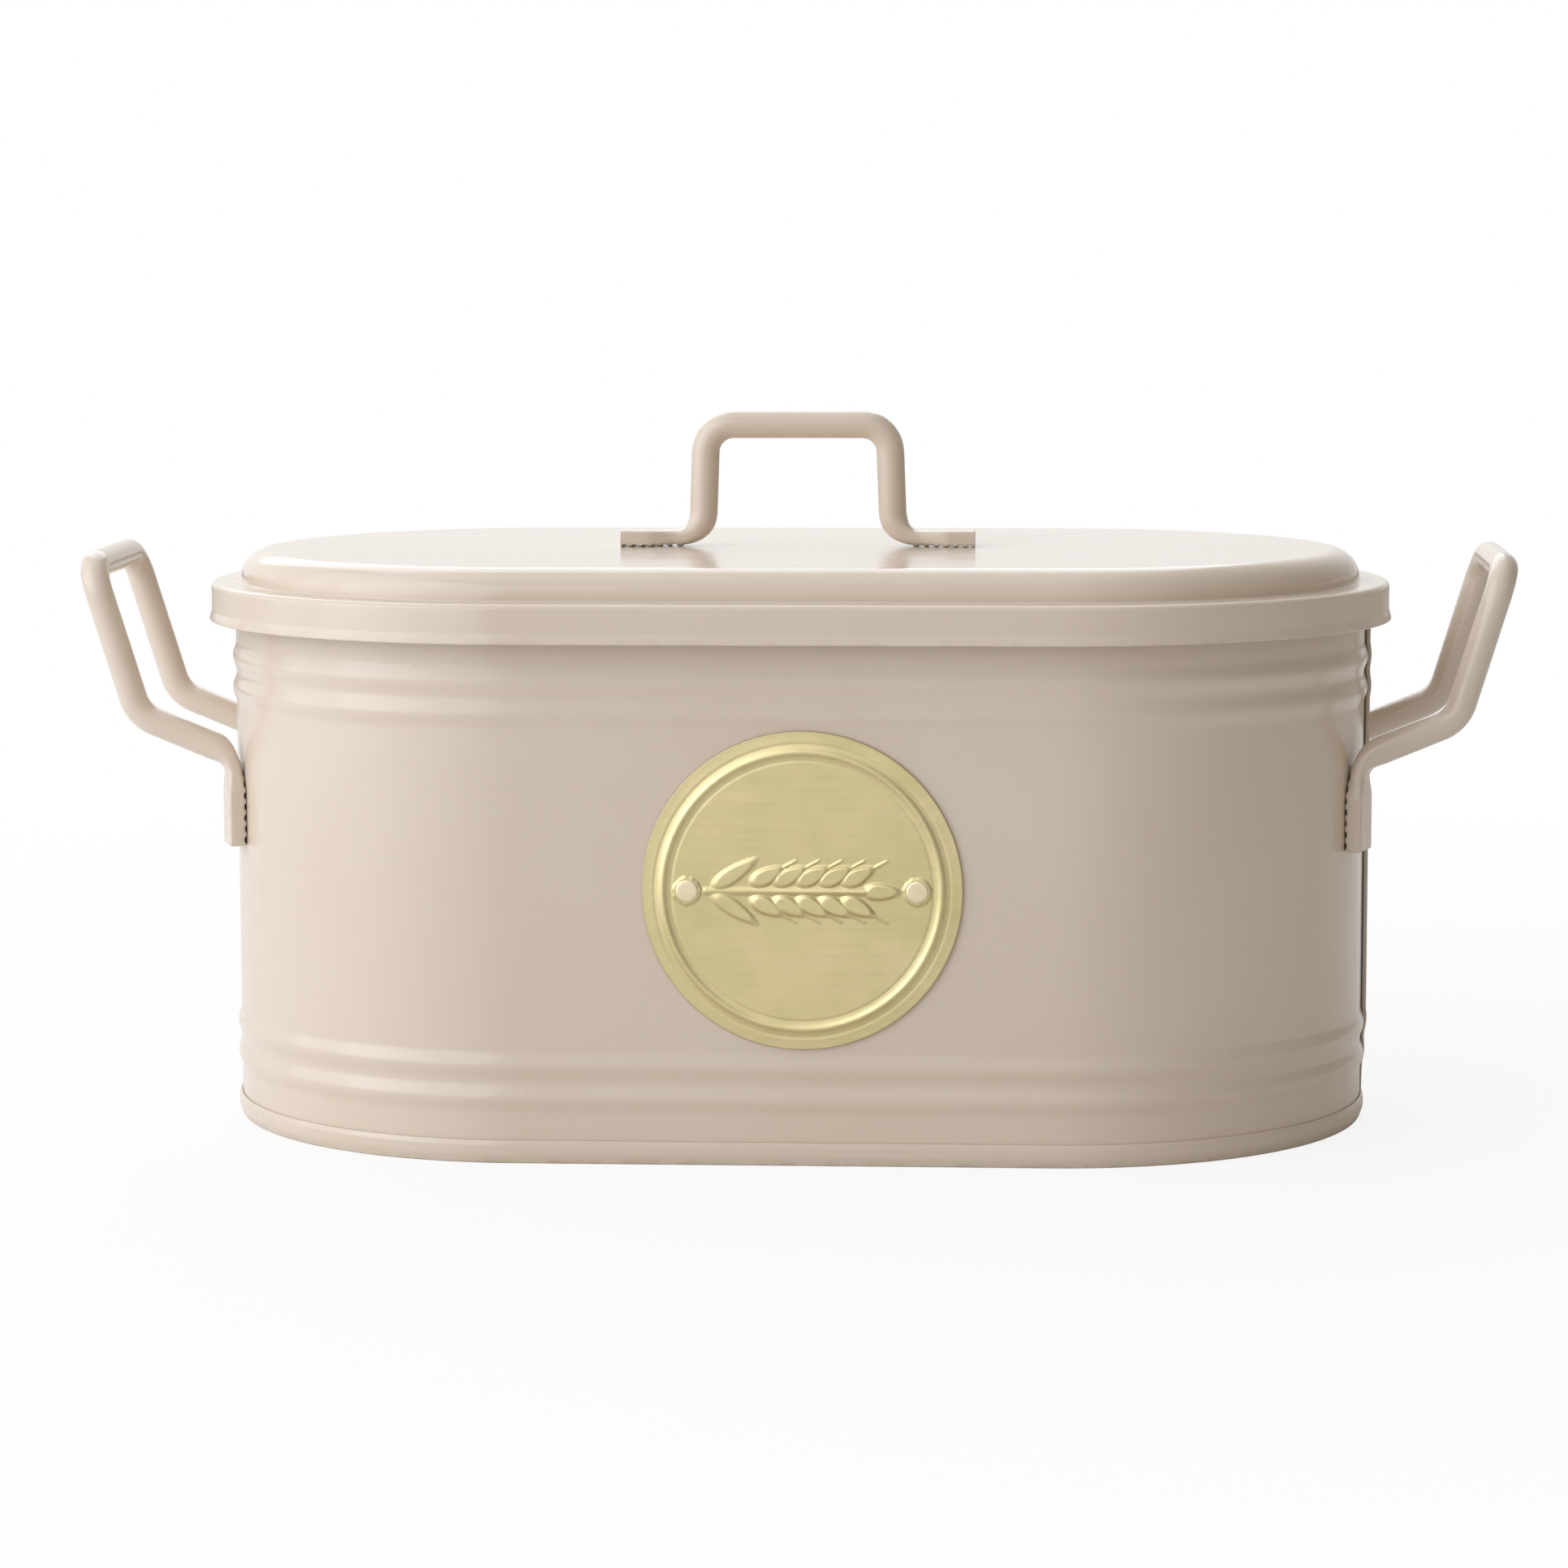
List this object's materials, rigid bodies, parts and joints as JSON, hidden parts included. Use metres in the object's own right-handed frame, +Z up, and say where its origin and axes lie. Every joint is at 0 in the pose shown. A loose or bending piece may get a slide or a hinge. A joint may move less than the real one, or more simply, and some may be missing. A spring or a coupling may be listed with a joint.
{
  "type": "bread bin",
  "caption": "Oblong powder-coated steel bread bin with a lift-off domed lid, bent-rod handles on the ends and lid, and a round embossed brass plate riveted to the front.",
  "frame": {"origin": "centre of the bin's footprint, on the surface that it stands on", "axes": "+X along the bin's length, +Y from the plated front to the back, +Z up"},
  "size_m": [0.422, 0.1992, 0.2098],
  "materials": {
    "enamel": "semi-gloss warm beige powder coat",
    "brass": "pale satin brushed brass",
    "rivet": "pale dull brass"
  },
  "bodies": {
    "bin": {"side_wall": "enamel", "base_pan": "enamel", "handle_left": "enamel", "handle_right": "enamel", "medallion": "brass", "rivet_left": "rivet", "rivet_right": "rivet"},
    "lid": {"lid_shell": "enamel", "lid_handle": "enamel"}
  },
  "joints": [
    {"name": "lid_lift", "type": "slide", "parent": "bin", "child": "lid", "axis": [0, 0, 1], "range_m": [0, 0.25]}
  ]
}
